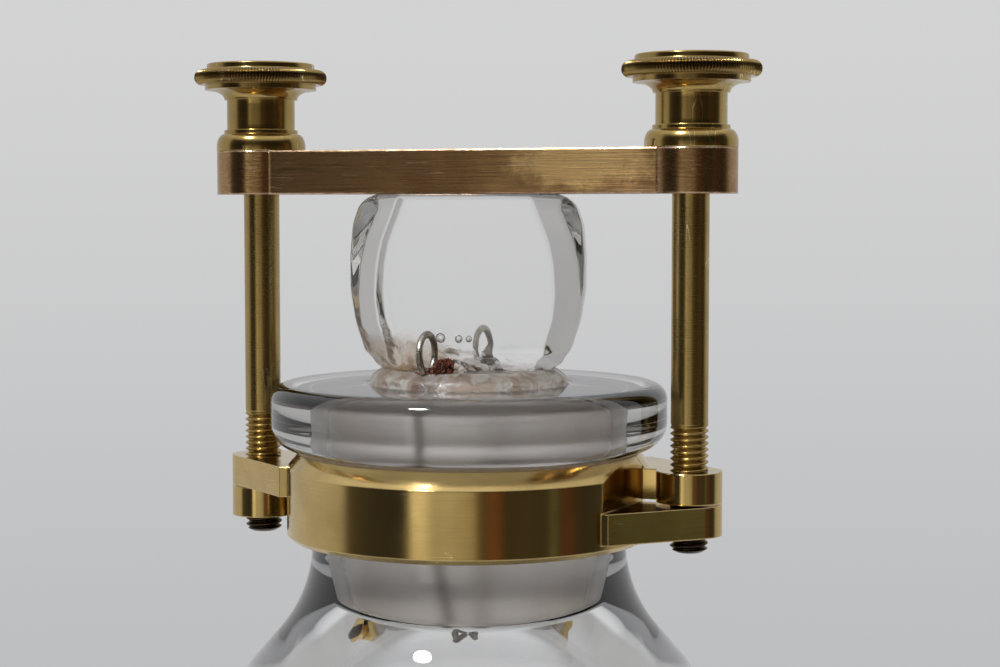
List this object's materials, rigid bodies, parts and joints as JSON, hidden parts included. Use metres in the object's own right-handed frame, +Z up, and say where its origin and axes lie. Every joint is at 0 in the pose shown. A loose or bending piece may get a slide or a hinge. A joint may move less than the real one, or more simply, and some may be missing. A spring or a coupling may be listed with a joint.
{
  "type": "firing eudiometer",
  "caption": "Pear-shaped glass gas explosion vessel with a ground stopper carrying spark wires, held by a brass bridge clamp with thumb screws, on a stopcock and turned foot.",
  "frame": {"origin": "on the vessel's vertical axis, at the foot's flat underside", "axes": "+Z up along the vessel's axis, X along the clamp's crossbar with the stopcock's thumb piece at +X, -Y towards the front electrode"},
  "size_m": [0.112, 0.112, 0.3073],
  "materials": {
    "foot_brass": "turned and lacquered, aged",
    "washer_leather": "greased leather, dark",
    "cock_brass": "turned, aged",
    "key_brass": "turned, aged",
    "ferrule_brass": "turned and lacquered, aged",
    "brown_cement": "dull resin cement",
    "vessel_glass": "clear blown glass with faint smears",
    "collar_brass": "polished, bright yellow",
    "packing_leather": "thin dark leather",
    "stopper_glass": "clear handle, finely ground plug",
    "wire_metal": "dull grey drawn wire",
    "red_cement": "dark red resin cement, crackled",
    "bar_bronze": "brown bronze, brushed lengthwise, scratched",
    "screw_brass": "turned, tarnished",
    "head_brass": "turned, with a knurled rim, aged"
  },
  "bodies": {
    "stand": {"foot": "foot_brass", "foot_washer": "washer_leather", "cock_body": "cock_brass", "ferrule_washer": "washer_leather", "ferrule": "ferrule_brass", "ferrule_cement": "brown_cement", "vessel": "vessel_glass", "collar_front": "collar_brass", "collar_back": "collar_brass", "collar_packing": "packing_leather"},
    "stopper": {"stopper": "stopper_glass", "electrode_front": "wire_metal", "electrode_rear": "wire_metal", "electrode_cement_front": "red_cement", "electrode_cement_rear": "red_cement"},
    "crossbar": {"crossbar": "bar_bronze"},
    "left_screw": {"screw_left": "screw_brass", "thumb_head_left": "head_brass"},
    "right_screw": {"screw_right": "screw_brass", "thumb_head_right": "head_brass"},
    "cock_key": {"cock_key": "key_brass", "cock_key_washer": "cock_brass", "cock_key_screw": "key_brass"}
  },
  "joints": [
    {"name": "bar_lift", "type": "slide", "parent": "stand", "child": "crossbar", "axis": [0, 0, 1], "range_m": [0, 0.01469]},
    {"name": "left_screw_turn", "type": "hinge", "parent": "crossbar", "child": "left_screw", "pos_m": [-0.0418, 0, 0.2948], "axis": [0, 0, 1], "range_deg": [0, 4680]},
    {"name": "right_screw_turn", "type": "hinge", "parent": "crossbar", "child": "right_screw", "pos_m": [0.0418, 0, 0.2948], "axis": [0, 0, 1], "range_deg": [0, 4680]},
    {"name": "stopper_lift", "type": "slide", "parent": "stand", "child": "stopper", "axis": [0, 0, 1], "range_m": [0, 0.0133]},
    {"name": "cock_turn", "type": "hinge", "parent": "stand", "child": "cock_key", "pos_m": [0, 0, 0.0432], "axis": [1, 0, 0], "continuous": true}
  ],
  "couplings": [
    {"joint": "left_screw_turn", "follows": "bar_lift", "rad_per_m": 5560.3},
    {"joint": "right_screw_turn", "follows": "bar_lift", "rad_per_m": 5560.3},
    {"joint": "stopper_lift", "follows": "bar_lift", "ratio": 0.9}
  ]
}
